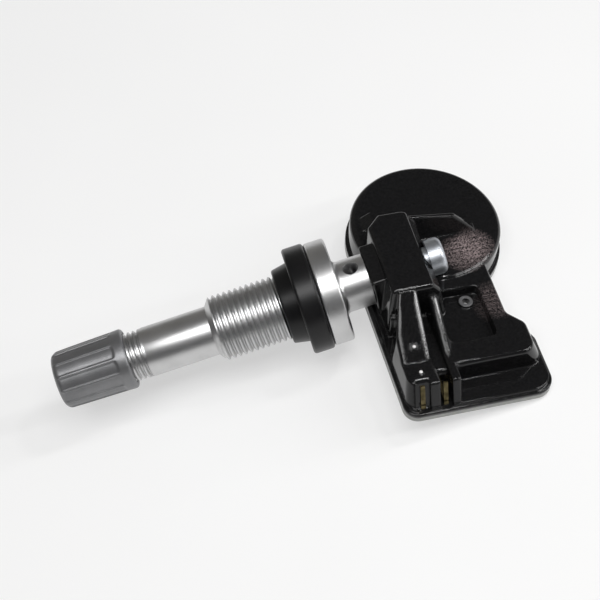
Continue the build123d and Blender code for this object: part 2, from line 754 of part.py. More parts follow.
def slot_back(z, offset=0):
    """Depth at which the left contact slot's back wall stands, parallel to the block's front."""
    rise = (z - z_edge) / (FOOT_TOP - z_edge)
    return LEDGE - FOOT_REACH + SLOT_DEPTH + CONTACT_BLOCK_DRAFT * rise - offset


def cut_contact_slots(body):
    """Cuts the groove between the legs, the deep slot at its end and the shallow slot left of it."""
    groove_x = (LEG_ONE_RIGHT, LEG_TWO_LEFT)
    groove = block(groove_x, (-FOOT_REACH, TOWER_FRONT), (z_groove, FOOT_TOP))
    deep = block(groove_x, (-FOOT_REACH, y_foot_front), (z_edge, FOOT_TOP))
    left = LEFT_SLOT_X - LEFT_SLOT_W / 2
    shallow = prism_along_x([
        (-FOOT_REACH, z_edge),
        (slot_back(z_edge), z_edge),
        (slot_back(FOOT_TOP), FOOT_TOP),
        (-FOOT_REACH, FOOT_TOP),
    ], left, left + LEFT_SLOT_W)
    body = body - groove - deep - shallow
    backs = [
        Vector(LEFT_SLOT_X, slot_back(FOOT_TOP), FOOT_TOP),
        Vector(sum(groove_x) / 2, y_foot_front, z_groove),
    ]
    edges = body.edges().filter_by(lambda e: min((e.center() - back).length for back in backs) < NEAR)
    return fillet(edges, SLOT_ROUND)


def make_strip_window(x, y_back):
    """Opening through which a contact strip's foot reaches the board."""
    half = STRIP_W / 2 + STRIP_WINDOW_CLEARANCE
    z_span = (z_board_top - STRIP_WINDOW_CLEARANCE, z_board_top + STRIP_T + STRIP_WINDOW_CLEARANCE)
    return block((x - half, x + half), (y_back, y_bay_front), z_span)


def make_cavities():
    cell_bay = post(DOME_X, DOME_Y, COVER_T, z_cell_roof, CELL_D + 2 * CELL_CLEARANCE)
    chute_x = (TAB_BOTTOM_X - TAB_W / 2 - CHUTE_MARGIN, TAB_TOP_X + TAB_W / 2 + CHUTE_MARGIN)
    chute = block(chute_x, (y_chute, DOME_Y), (COVER_T, z_cell_roof))
    foot_bay = block((BAY_LEFT, BAY_RIGHT), (y_bay_front, y_bay_step), (COVER_T, z_bay_roof))
    waist_bay = block((BAY_WAIST_LEFT, BAY_WAIST_RIGHT), (y_bay_step, BAY_BACK), (COVER_T, z_bay_roof))
    return [cell_bay, chute, foot_bay, waist_bay]


def make_housing():
    flange = Pos(0, 0, COVER_T) * extrude(base_outline(0), FLANGE_EDGE_T)
    flange = fillet(edges_at(flange, Axis.Z, z_edge), FLANGE_EDGE_ROUND)
    plinth = Pos(0, 0, COVER_T) * extrude(base_outline(LEDGE), z_plinth - COVER_T)
    dome = post(DOME_X, DOME_Y, COVER_T, z_dome, 2 * (BASE_R - LEDGE))
    dome = fillet(edges_at(dome, Axis.Z, z_dome), DOME_ROUND)
    body = cut_contact_slots(flange + plinth + dome + make_foot_block() + make_contact_block())
    body += make_tower() + make_legs() + make_toe() + make_pips() + make_gusset() + make_pad()
    body -= [make_strip_window(x, slot_back(z_edge)) for x in slot_x.values()]
    z_boss = z_pocket + PORT_BOSS_H
    boss = post(PORT_X, PORT_Y, z_bay_roof, z_boss, PORT_BOSS_D)
    body += fillet(edges_at(boss, Axis.Z, z_boss), PORT_BOSS_ROUND)
    body -= post(PORT_X, PORT_Y, z_bay_roof, z_boss, PORT_D)

    x_collar_end = x_saddle + COLLAR_LEN
    floor = (AXIS_HEIGHT - z_plinth) / cos(radians(TILT))
    collar = block((x_saddle, x_collar_end), (-COLLAR_W / 2, COLLAR_W / 2), (-floor, COLLAR_H))
    sides = edges_at(collar, Axis.Z, COLLAR_H).filter_by(Axis.X)
    front = edges_above(collar, -floor).filter_by_position(Axis.X, x_saddle - NEAR, x_saddle + NEAR)
    collar = fillet(sides + front, COLLAR_ROUND)
    socket = rod(x_saddle, x_spigot_end + SADDLE_FIT, SPIGOT_D + 2 * SADDLE_FIT)
    half_flats = SPIGOT_FLATS / 2 + SADDLE_FIT
    socket &= block((x_saddle, x_screw_seat), (-SPIGOT_D, SPIGOT_D), (-half_flats, half_flats))
    screw_hole = rod(x_spigot_end, x_screw_seat, SCREW_HOLE_D)
    cavities = [BODY_PLACE * cavity for cavity in make_cavities()]
    return BODY_PLACE * body + collar - socket - screw_hole - cavities


def make_cover():
    cover = extrude(base_outline(0), COVER_T)
    cover = fillet(edges_at(cover, Axis.Z, 0), COVER_ROUND)
    for n in range(CELL_PADS):
        angle = radians(360 * n / CELL_PADS + 90)
        x = DOME_X + CELL_PAD_RADIUS * cos(angle)
        y = DOME_Y + CELL_PAD_RADIUS * sin(angle)
        cover += post(x, y, COVER_T, COVER_T + CELL_PAD_H + TAB_T, CELL_PAD_D)
    foot_pillars = [(x, y_bay_front + y) for x, y in FOOT_PILLARS]
    for x, y in foot_pillars + WAIST_PILLARS:
        cover += post(x, y, COVER_T, z_board, PILLAR_D)
    return cover


def make_cell():
    can = post(DOME_X, DOME_Y, z_cell, z_cell_top, CELL_D)
    return chamfer(edges_at(can, Axis.Z, z_cell), CELL_RIM)


def make_tab_top():
    x = (TAB_TOP_X - TAB_W / 2, TAB_TOP_X + TAB_W / 2)
    strap = block(x, (y_tab - TAB_T, DOME_Y), (z_cell_top, z_cell_roof))
    drop = block(x, (y_tab - TAB_T, y_tab), (z_board_top, z_cell_roof))
    foot = block(x, (y_board_back - TAB_FOOT_LEN, y_tab), (z_board_top, z_board_top + TAB_T))
    return strap + drop + foot


def make_tab_bottom():
    x = (TAB_BOTTOM_X - TAB_W / 2, TAB_BOTTOM_X + TAB_W / 2)
    strap = block(x, (y_tab - TAB_T, DOME_Y), (z_cell - TAB_T, z_cell))
    rise = block(x, (y_tab - TAB_T, y_tab), (z_cell - TAB_T, z_board_top + TAB_T))
    foot = block(x, (y_board_back - TAB_FOOT_LEN, y_tab), (z_board_top, z_board_top + TAB_T))
    return strap + rise + foot


def make_board():
    z = (z_board, z_board_top)
    gap = BOARD_GAP
    foot = block((BAY_LEFT + gap, BAY_RIGHT - gap), (y_bay_front + gap, y_bay_step - gap), z)
    return foot + block((BAY_WAIST_LEFT + gap, BAY_WAIST_RIGHT - gap), (y_bay_step - gap, y_board_back), z)


def make_on_board(x, y, length, width, height):
    """Plain package standing on the board."""
    return Pos(x, y, z_board_top + height / 2) * Box(length, width, height)


def make_port_gasket():
    ring = post(PORT_X, PORT_Y, z_chip_top, z_bay_roof, PORT_GASKET_D)
    return ring - post(PORT_X, PORT_Y, z_chip_top, z_bay_roof, PORT_FILTER_D + 2 * PORT_FILTER_CLEARANCE)


def make_coil_core():
    z_axis = z_board_top + COIL_END_W / 2
    core = Pos(COIL_X, COIL_Y, z_axis) * Rot(0, 90, 0) * Cylinder(COIL_CORE_D / 2, COIL_LEN)
    for side in (-1, 1):
        x = COIL_X + side * (COIL_LEN + COIL_END_LEN) / 2
        core += make_on_board(x, COIL_Y, COIL_END_LEN, COIL_END_W, COIL_END_W)
    return core


def make_wake_coil():
    z_axis = z_board_top + COIL_END_W / 2
    turn = Pos(COIL_X, COIL_Y, z_axis) * Rot(0, 90, 0)
    return turn * Cylinder(COIL_D / 2, COIL_LEN) - turn * Cylinder(COIL_CORE_D / 2, COIL_LEN)


def make_antenna():
    left = ANTENNA_X - ANTENNA_LEN / 2
    right = ANTENNA_X + ANTENNA_LEN / 2
    y_mid = y_bay_front + ANTENNA_FROM_FRONT
    y = (y_mid - ANTENNA_W / 2, y_mid + ANTENNA_W / 2)
    z_span = (z_board_top, z_board_top + ANTENNA_H)
    loop = block((left, right), y, (z_span[1] - ANTENNA_T, z_span[1]))
    for edge, inward in ((left, 1), (right, -1)):
        inner = edge + inward * ANTENNA_T
        outer = edge - inward * ANTENNA_FOOT
        loop += block(sorted((inner, edge)), y, z_span)
        loop += block(sorted((inner, outer)), y, (z_board_top, z_board_top + ANTENNA_T))
    return loop


def make_capacitors():
    size = (CAPACITOR_W, CAPACITOR_LEN, CAPACITOR_H)
    places = [CAPACITOR_X + CAPACITOR_PITCH * n for n in range(CAPACITORS)]
    y = y_bay_step - CAPACITOR_FROM_STEP
    return Compound(children=[make_on_board(x, y, *size) for x in places])


def make_strip(x):
    z_top = FOOT_TOP - STRIP_TOP_GAP
    upright = prism_along_x([
        (slot_back(z_edge), z_edge),
        (slot_back(z_top), z_top),
        (slot_back(z_top, STRIP_T), z_top),
        (slot_back(z_edge, STRIP_T), z_edge),
    ], x - STRIP_W / 2, x + STRIP_W / 2)
    y_inner = y_bay_front + BOARD_GAP + STRIP_FOOT_ON_BOARD
    foot_y = (slot_back(z_board_top, STRIP_T), y_inner)
    foot = block((x - STRIP_W / 2, x + STRIP_W / 2), foot_y, (z_board_top, z_board_top + STRIP_T))
    return upright + foot


on_stem = {
    "valve_stem": make_stem(),
    "stem_grommet": make_grommet(),
    "valve_cap": make_cap(),
    "cap_seal": make_cap_seal(),
    "core_barrel": make_core_barrel(),
    "core_gasket": make_core_gasket(),
    "core_pin": make_core_pin(),
    "core_washer": make_core_washer(),
    "core_spring": make_core_spring(),
    "fixing_screw": make_screw(),
    "sensor_housing": make_housing(),
}
in_body = {
    "base_cover": make_cover(),
    "battery_cell": make_cell(),
    "battery_tab_top": make_tab_top(),
    "battery_tab_bottom": make_tab_bottom(),
    "circuit_board": make_board(),
    "sensor_chip": make_on_board(PORT_X, PORT_Y, CHIP_SIDE, CHIP_SIDE, CHIP_H),
    "port_gasket": make_port_gasket(),
    "port_filter": post(PORT_X, PORT_Y, z_chip_top, z_bay_roof, PORT_FILTER_D),
    "crystal": make_on_board(CRYSTAL_X, CRYSTAL_Y, CRYSTAL_LEN, CRYSTAL_W, CRYSTAL_H),
    "coil_core": make_coil_core(),
    "wake_coil": make_wake_coil(),
    "loop_antenna": make_antenna(),
    "chip_capacitors": make_capacitors(),
}
for name, x in slot_x.items():
    in_body[name] = make_strip(x)

os.makedirs("parts", exist_ok=True)
for name, shape in on_stem.items():
    export_step(shape, f"parts/{name}.step")
for name, shape in in_body.items():
    export_step(BODY_PLACE * shape, f"parts/{name}.step")
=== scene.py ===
import json
from math import ceil, cos, pi, radians, sin, sqrt, tan
from math import floor as round_down

import bmesh
import bpy
from mathutils import Matrix, Quaternion, Vector


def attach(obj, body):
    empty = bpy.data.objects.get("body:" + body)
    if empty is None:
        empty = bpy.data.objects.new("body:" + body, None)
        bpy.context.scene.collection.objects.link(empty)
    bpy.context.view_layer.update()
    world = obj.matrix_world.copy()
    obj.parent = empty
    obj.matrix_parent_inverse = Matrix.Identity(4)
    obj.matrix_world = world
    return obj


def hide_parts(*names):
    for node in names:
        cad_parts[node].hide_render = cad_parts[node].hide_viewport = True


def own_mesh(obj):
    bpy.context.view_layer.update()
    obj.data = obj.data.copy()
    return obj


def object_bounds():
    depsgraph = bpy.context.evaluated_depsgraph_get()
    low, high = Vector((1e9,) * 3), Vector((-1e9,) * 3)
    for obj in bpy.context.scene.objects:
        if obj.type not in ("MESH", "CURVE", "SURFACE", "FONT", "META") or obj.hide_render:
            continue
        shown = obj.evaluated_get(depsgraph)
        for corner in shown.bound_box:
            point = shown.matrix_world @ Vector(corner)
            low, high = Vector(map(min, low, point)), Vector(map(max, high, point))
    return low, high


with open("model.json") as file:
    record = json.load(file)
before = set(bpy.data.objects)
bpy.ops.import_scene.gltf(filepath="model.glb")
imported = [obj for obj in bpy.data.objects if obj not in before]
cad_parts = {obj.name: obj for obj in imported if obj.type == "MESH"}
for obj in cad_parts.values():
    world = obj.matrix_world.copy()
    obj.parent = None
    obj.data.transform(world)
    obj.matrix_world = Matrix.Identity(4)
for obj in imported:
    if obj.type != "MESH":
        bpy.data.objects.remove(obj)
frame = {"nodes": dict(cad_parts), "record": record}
cad_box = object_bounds()

# Tyre pressure sensor on a clamp-in valve stem. Lengths are in millimetres, except for floor and lamps.
MM = 0.001
WELD_GAP = 0.0001

# Stem
TIP_R = 3.45
TIP_CHAMFER = 0.4
CAP_THREAD_R = 3.85
CAP_THREAD_PITCH = 0.794
SHANK_R = 3.9
SHANK_EDGE = 0.12
NUT_THREAD_R = 5.15
NUT_THREAD_PITCH = 0.907
THREAD_ANGLE = 60
THREAD_CREST_FLAT = 0.22
THREAD_ROOT_FLAT = 0.1
THREAD_START_ANGLE = 270
RELIEF_R = 4.6
FLANGE_R = 8.225
FLANGE_ROUND = 0.45
NECK_R = 4.075
NECK_FILLET = 0.8
SPIGOT_R = 2.8
SPIGOT_HALF_FLATS = 2.3
MOUTH_R = 2.65
CHAMBER_R = 2.0
AIR_BORE_R = 1.5
AIR_HOLE_R = 1.1
AIR_HOLE_SINK = 0.12
TAP_R = 2.0
STEM_COLUMNS = 128
AIR_HOLE_COLUMNS = 64
CONE_RINGS = 8
FLANGE_STEPS = 8
NECK_STEPS = 10
STEM_SHARP_ANGLE = 32

# Places along the stem, from the rim seat
X_TIP = -37.0
X_CORE_THREAD = -32.7
X_CORE_SEAT = -31.9
X_CHAMBER_END = -25.1
X_CAP_THREAD = -24.4
X_SHANK = -13.9
X_CONE = -13.0
X_THREAD_END = -2.47
X_FLANGE = 3.45
X_NECK = 6.75
X_AIR_HOLE = 9.27
X_BORE_END = 10.37
X_TAP_END = 11.4
X_SADDLE = 11.5
X_SPIGOT_END = 17.0

# Cap. Its columns stand at shares of a rib's half width and of half the way to the next rib
CAP_R = 4.77
CAP_TIP_R = 4.525
CAP_TIP_ROUND = 1.2
CAP_MOUTH_ROUND = 0.55
CAP_MOUTH_START_ANGLE = 88
CAP_BORE_R = 4.0
CAP_BORE_CHAMFER = 0.2
CAP_BORE_THREAD = 0.1
CAP_BORE_GROOVE = [(0, 0), (0.1, 0), (0.45, 1), (0.65, 1)]
CAP_RIBS = 12
CAP_RIB_ANGLE = 120
CAP_RIB_TOP = 0.12
CAP_RIB_FOOT = 0.3
CAP_RIB_COLUMNS = [0, 0.4, 0.55, 0.7, 0.85, 1]
CAP_FLUTE_COLUMNS = [0.4, 0.6, 0.8, 1, 1.2, 1.4, 1.6]
CAP_FLUTE_DEPTH = 0.16
CAP_FLUTE_END = 0.6
CAP_FLUTE_END_RINGS = 12
CAP_SIDE_RINGS = 4
CAP_TIP_STEPS = 12
CAP_MOUTH_STEPS = 7
CAP_SHARP_ANGLE = 40
X_CAP_CLOSED = -38.9
X_CAP_SEAL = -37.7
X_CAP_SKIRT = -29.3
X_CAP_MOUTH = -27.2

# Spring of the valve core
SPRING_R = 0.81
SPRING_WIRE_R = 0.12
SPRING_TURNS = 8
SPRING_STEPS = 24
SPRING_SIDES = 12
SPRING_START_ANGLE = 270
SPRING_SHARP_ANGLE = 50
X_SPRING_TOP = -35.8
X_SPRING_END = -29.1

# Marks on the sensor body. A spot has a place, a reach and the most brown that shows: rubbed print on
# the dome, painted sheen at the right rim. Pips and the port's rim have painted highlights
PRINT_AND_SHEEN_SPOTS = [
    ((27.1, 2.2, -4.45), 4.0, 0.8),
    ((29.3, 3.3, -5.0), 3.6, 0.8),
    # painted sheen: pale brown specks at the right rim stand in for a speckled highlight
    ((29.2, -7.6, -5.4), 4.0, 0.35),
]
PRINT_AND_SHEEN_ROW_PITCH = 0.85
PRINT_AND_SHEEN_BROWN = (0.3, 0.24, 0.238)
PIPS = [(14.5, -14.4, -0.3), (14.2, -18.3, -1.45)]
PIP_R = 0.3
# Pale paint on the pips is a painted highlight
PIP_PAINTED_HIGHLIGHT = (0.75, 0.73, 0.72)
PORT = (24.85, -5.9, -5.62)
PORT_RIM_R = 1.15
# Grey paint on the port's rim is a painted highlight; the hole inside keeps the plain dark colour
PORT_RIM_PAINTED_HIGHLIGHT = (0.1, 0.1, 0.102)
PORT_HOLE = (24.74, -5.9, -6.06)
PORT_HOLE_R = 0.72
MARK_EDGE = 0.06

# Softer look of the body's edges, with its own radius within a reach of the legs and the port
LEGS = (18.0, -12.5, -2.5)
LEGS_REACH = (6.25, 7.5)
PORT_REACH = (1.76, 2.2)
EDGE_SOFTENING = 0.5
LEG_SOFTENING = 1.0
PORT_SOFTENING = 0.3
SOFTENING_SAMPLES = 8

# Floor and lamps, in metres and watts. A lamp has a name, place, size, power and turn about its own axis
FLOOR_HALF = 1.5
FLOOR_COLOURS = [(0.86, 0.86, 0.855), (0.89, 0.89, 0.885)]
FLOOR_ROUGHNESS = 0.9
FLOOR_GLOW = 0.55
LAMPS = [
    ("overhead", (0, -0.155, 0.476), (0.38, 0.19), 1.6, 0),
    ("right", (0.431, -0.141, 0.213), (0.025, 0.4), 0.8, 31),
    ("right_high", (0.402, -0.025, 0.297), (0.02, 0.29), 0.5, 16),
    ("top_right", (0.248, -0.028, 0.44), (0.04, 0.04), 0.3, 0),
]

# Room
ROOM_DARK = (0.075, 0.075, 0.077)
ROOM_LIGHT = (0.19, 0.184, 0.174)
ROOM_LIGHT_SIDE = (-0.6, 0.8, 0)
ROOM_LIGHT_START = 0.25
ROOM_LIGHT_FULL = 0.75

# Camera
VIEW_FROM_TOP = 36.33
VIEW_ROLL = 18.4
VIEW_DISTANCE = 260
VIEW_CENTRE = (0.386, 0.325)
VIEW_START = 10
SENSOR = 36
LENS = 100.92

# Numbers of the Mix node's two inputs and its output, for values and for colours
MIX_SOCKETS = {"FLOAT": (2, 3, 0), "RGBA": (6, 7, 2)}


def smooth(t):
    """Eased step from 0 to 1."""
    t = min(max(t, 0), 1)
    return t * t * (3 - 2 * t)


def even_places(start, end, count):
    return [start + (end - start) * n / count for n in range(count + 1)]


def even_angles(count):
    return even_places(0, 2 * pi, count)


def ray(x, radius, a):
    """Point at one angle around the stem's axis."""
    return Vector((x, radius * cos(a), radius * sin(a)))


def row_at(x, radius, angles):
    """Points around the stem's axis at one place along it."""
    return [ray(x, radius, a) for a in angles]


def rows_at(places, angles):
    return [row_at(x, radius, angles) for x, radius in places]


def corner(x, radius, round_by, start, end, steps):
    """Places along a rounded corner, from its centre and the angles it runs between."""
    turns = [radians(t) for t in even_places(start, end, steps)]
    return [(x + round_by * cos(t), radius + round_by * sin(t)) for t in turns]


class Thread:
    """Right-hand thread, whose groove's middle runs from one place along the stem to another."""

    def __init__(self, crest, pitch, x_start, x_stop, outline):
        self.crest = crest
        self.pitch = pitch
        self.x_start = x_start
        self.x_stop = x_stop
        self.outline = outline
        self.slope = tan(radians(THREAD_ANGLE / 2))
        self.half_groove = (pitch - THREAD_CREST_FLAT) / 2
        self.root = crest - (self.half_groove - THREAD_ROOT_FLAT / 2) / self.slope

    def turns(self, a):
        return (a - radians(THREAD_START_ANGLE)) / (2 * pi)

    def radius(self, x, a):
        """Radius where the groove has been cut into the plain outline."""
        along = (x - self.x_start) / self.pitch - self.turns(a)
        last = round_down((self.x_stop - self.x_start) / self.pitch - self.turns(a))
        aside = abs(along - min(round(along), last)) * self.pitch
        groove = self.root + max(aside - THREAD_ROOT_FLAT / 2, 0) / self.slope
        return min(groove, self.crest, self.outline(x))

    def rings(self, places, angles):
        """Rows that stand square to the stem."""
        return [[ray(x, self.radius(x, a), a) for a in angles] for x in places]

    def rows(self, x_from, x_to, angles):
        """Rows that follow the groove's edges between two places."""
        edges = [-self.half_groove, -THREAD_ROOT_FLAT / 2, THREAD_ROOT_FLAT / 2, self.half_groove]
        first = round_down((x_from - self.x_start) / self.pitch) - 1
        last = ceil((x_to - self.x_start) / self.pitch) + 1
        rows = []
        for turn in range(first, last + 1):
            for edge in edges:
                row = []
                for a in angles:
                    x = self.x_start + self.pitch * (turn + self.turns(a)) + edge
                    x = min(max(x, x_from), x_to)
                    row.append(ray(x, self.radius(x, a), a))
                rows.append(row)
        return rows


def add_object(name, data):
    made = bpy.data.objects.new(name, data)
    bpy.context.scene.collection.objects.link(made)
    return made


def skin(name, rows):
    """Closed mesh over rows of points, joined where they meet."""
    maker = bmesh.new()
    made = [[maker.verts.new(p * MM) for p in row] for row in rows]
    for low, high in zip(made, made[1:]):
        for n in range(len(low) - 1):
            maker.faces.new((low[n], low[n + 1], high[n + 1], high[n]))
    bmesh.ops.remove_doubles(maker, verts=maker.verts, dist=WELD_GAP * MM)
    bmesh.ops.recalc_face_normals(maker, faces=maker.faces)
    mesh = bpy.data.meshes.new(name)
    maker.to_mesh(mesh)
    maker.free()
    return add_object(name, mesh)


def shade(piece, sharp_angle):
    """Smooth shading, broken at sharp edges."""
    piece.data.shade_smooth()
    piece.data.set_sharp_from_angle(angle=radians(sharp_angle))


def cut_away(piece, cutter):
    """Takes one closed mesh out of another."""
    boolean = piece.modifiers.new("cut", "BOOLEAN")
    boolean.operation = "DIFFERENCE"
    boolean.solver = "EXACT"
    boolean.object = cutter
    ready = piece.evaluated_get(bpy.context.evaluated_depsgraph_get())
    mesh = bpy.data.meshes.new_from_object(ready)
    piece.modifiers.clear()
    piece.data = mesh
    bpy.data.objects.remove(cutter)


def spigot_row(x, angles):
    """Points around the spigot, which is flat above and below."""
    heights = [max(SPIGOT_R * abs(sin(a)), SPIGOT_HALF_FLATS) for a in angles]
    return [ray(x, SPIGOT_R * SPIGOT_HALF_FLATS / h, a) for h, a in zip(heights, angles)]


def air_hole():
    """Cutter for the upright hole in the neck, with a sunk edge."""
    upright = Matrix.Translation((X_AIR_HOLE, 0, 0)) @ Matrix.Rotation(radians(-90), 4, "Y")
    wide = AIR_HOLE_R + 2 * AIR_HOLE_SINK
    rows = rows_at([
        (0, 0),
        (0, AIR_HOLE_R),
        (NECK_R - 2 * AIR_HOLE_SINK, AIR_HOLE_R),
        (NECK_R, wide - AIR_HOLE_SINK),
        (NECK_R + wide, wide),
        (NECK_R + wide, 0),
    ], even_angles(AIR_HOLE_COLUMNS))
    return skin("air_hole", [[upright @ p for p in row] for row in rows])


def make_stem():
    """Stem with both threads, drawn from the end of its air bore round to the tapped hole."""
    angles = even_angles(STEM_COLUMNS)
    x_crest = X_TIP + TIP_CHAMFER
    cap_thread = Thread(
        CAP_THREAD_R,
        CAP_THREAD_PITCH,
        x_crest - CAP_THREAD_PITCH,
        X_CAP_THREAD - CAP_THREAD_PITCH / 2,
        lambda x: TIP_R + x - X_TIP,
    )
    cone = (NUT_THREAD_R - SHANK_R) / (X_CONE - X_SHANK)
    nut_thread = Thread(
        NUT_THREAD_R,
        NUT_THREAD_PITCH,
        X_CONE - NUT_THREAD_PITCH,
        X_THREAD_END + NUT_THREAD_PITCH,
        lambda x: SHANK_R + cone * (x - X_SHANK),
    )
    rows = rows_at([
        (X_BORE_END, 0),
        (X_BORE_END, AIR_BORE_R),
        (X_CHAMBER_END, AIR_BORE_R),
        (X_CHAMBER_END, CHAMBER_R),
        (X_CORE_SEAT, CHAMBER_R),
        (X_CORE_THREAD, MOUTH_R),
        (X_TIP, MOUTH_R),
    ], angles)
    rows += cap_thread.rings(even_places(X_TIP, x_crest, CONE_RINGS), angles)
    rows += cap_thread.rows(x_crest, X_CAP_THREAD, angles)
    rows.append(row_at(X_CAP_THREAD + SHANK_EDGE, SHANK_R, angles))
    rows += nut_thread.rings(even_places(X_SHANK, X_CONE, CONE_RINGS), angles)
    rows += nut_thread.rows(X_CONE, X_THREAD_END, angles)

    rim = FLANGE_R - FLANGE_ROUND
    fillet = NECK_R + NECK_FILLET
    outline = [(X_THREAD_END, RELIEF_R), (X_FLANGE, RELIEF_R)]
    outline += corner(X_FLANGE + FLANGE_ROUND, rim, FLANGE_ROUND, 180, 90, FLANGE_STEPS)
    outline += corner(X_NECK - FLANGE_ROUND, rim, FLANGE_ROUND, 90, 0, FLANGE_STEPS)
    outline += corner(X_NECK + NECK_FILLET, fillet, NECK_FILLET, 180, 270, NECK_STEPS)
    outline.append((X_SADDLE, NECK_R))
    rows += rows_at(outline, angles)
    rows += [spigot_row(x, angles) for x in (X_SADDLE, X_SPIGOT_END)]
    rows += rows_at([(X_SPIGOT_END, TAP_R), (X_TAP_END, TAP_R), (X_TAP_END, 0)], angles)
    stem = skin("threaded_stem", rows)
    cut_away(stem, air_hole())
    shade(stem, STEM_SHARP_ANGLE)
    return stem


def bore_rows(x_from, x_to, angles):
    """Rows that follow the shallow thread in the cap, which fades out at both ends."""
    first = -ceil(angles[-1] / (2 * pi))
    last = ceil((x_to - x_from) / CAP_THREAD_PITCH)
    rows = []
    for turn in range(first, last + 1):
        for phase, share in CAP_BORE_GROOVE:
            row = []
            for a in angles:
                x = x_from + CAP_THREAD_PITCH * (turn + phase + a / (2 * pi))
                x = min(max(x, x_from), x_to)
                fade = smooth((x - x_from) / CAP_THREAD_PITCH) * smooth((x_to - x) / CAP_THREAD_PITCH)
                row.append(ray(x, CAP_BORE_R + CAP_BORE_THREAD * share * fade, a))
            rows.append(row)
    return rows


def make_cap():
    """Cap with narrow ribs between wide flutes, which end round before the skirt."""
    half = pi / CAP_RIBS
    steps = [s * CAP_RIB_FOOT / CAP_R for s in CAP_RIB_COLUMNS]
    steps += [half * s for s in CAP_FLUTE_COLUMNS]
    steps += [2 * half - s for s in reversed(steps[1:len(CAP_RIB_COLUMNS)])]
    first = radians(CAP_RIB_ANGLE)
    angles = [first + 2 * half * n + s for n in range(CAP_RIBS) for s in steps]
    angles.append(first + 2 * pi)

    def sink(x, a):
        from_rib = half - abs((a - first) % (2 * half) - half)
        flank = smooth((from_rib * CAP_R - CAP_RIB_TOP) / (CAP_RIB_FOOT - CAP_RIB_TOP))
        across = 1 - from_rib / half
        x_end = X_CAP_SKIRT + CAP_FLUTE_END * sqrt(max(1 - across * across, 0))
        fade = smooth((x - X_CAP_CLOSED) / CAP_TIP_ROUND) * smooth((x_end - x) / CAP_FLUTE_END)
        return CAP_FLUTE_DEPTH * flank * fade

    taper = (CAP_R - CAP_TIP_R) / (X_CAP_MOUTH - X_CAP_CLOSED)
    x_side = X_CAP_CLOSED + CAP_TIP_ROUND
    x_flute_end = X_CAP_SKIRT - CAP_FLUTE_END
    side = even_places(x_side, x_flute_end, CAP_SIDE_RINGS)[1:]
    side += even_places(x_flute_end, X_CAP_SKIRT + CAP_FLUTE_END, CAP_FLUTE_END_RINGS)[1:]
    grip = corner(x_side, CAP_TIP_R - CAP_TIP_ROUND, CAP_TIP_ROUND, 180, 90, CAP_TIP_STEPS)
    grip += [(x, CAP_TIP_R + taper * (x - X_CAP_CLOSED)) for x in side]
    x_lip = X_CAP_MOUTH - CAP_MOUTH_ROUND
    lip_r = CAP_R - CAP_MOUTH_ROUND
    mouth = corner(x_lip, lip_r, CAP_MOUTH_ROUND, CAP_MOUTH_START_ANGLE, 0, CAP_MOUTH_STEPS)
    mouth.append((X_CAP_MOUTH, CAP_BORE_R + CAP_BORE_CHAMFER))

    rows = [row_at(X_CAP_CLOSED, 0, angles)]
    for x, radius in grip:
        rows.append([ray(x, radius - sink(x, a), a) for a in angles])
    rows += rows_at(mouth, angles)
    rows += reversed(bore_rows(X_CAP_SEAL, X_CAP_MOUTH - CAP_BORE_CHAMFER, angles))
    rows.append(row_at(X_CAP_SEAL, 0, angles))
    cap = skin("ribbed_cap", rows)
    shade(cap, CAP_SHARP_ANGLE)
    return cap


def make_spring():
    """Coil spring between the pin's collar and the barrel's shoulder."""
    length = X_SPRING_END - X_SPRING_TOP - 2 * SPRING_WIRE_R
    rise = length / (2 * pi * SPRING_TURNS)
    sides = even_angles(SPRING_SIDES)
    centres = []
    rows = []
    for n in range(SPRING_TURNS * SPRING_STEPS + 1):
        turn = 2 * pi * n / SPRING_STEPS
        a = turn + radians(SPRING_START_ANGLE)
        centre = ray(X_SPRING_TOP + SPRING_WIRE_R + rise * turn, SPRING_R, a)
        outward = ray(0, 1, a)
        along = ray(rise, SPRING_R, a + pi / 2).normalized()
        across = along.cross(outward)
        centres.append(centre)
        rows.append([centre + SPRING_WIRE_R * (cos(s) * outward + sin(s) * across) for s in sides])
    rows.insert(0, [centres[0]] * len(sides))
    rows.append([centres[-1]] * len(sides))
    spring = skin("coil_spring", rows)
    shade(spring, SPRING_SHARP_ANGLE)
    return spring


# Materials


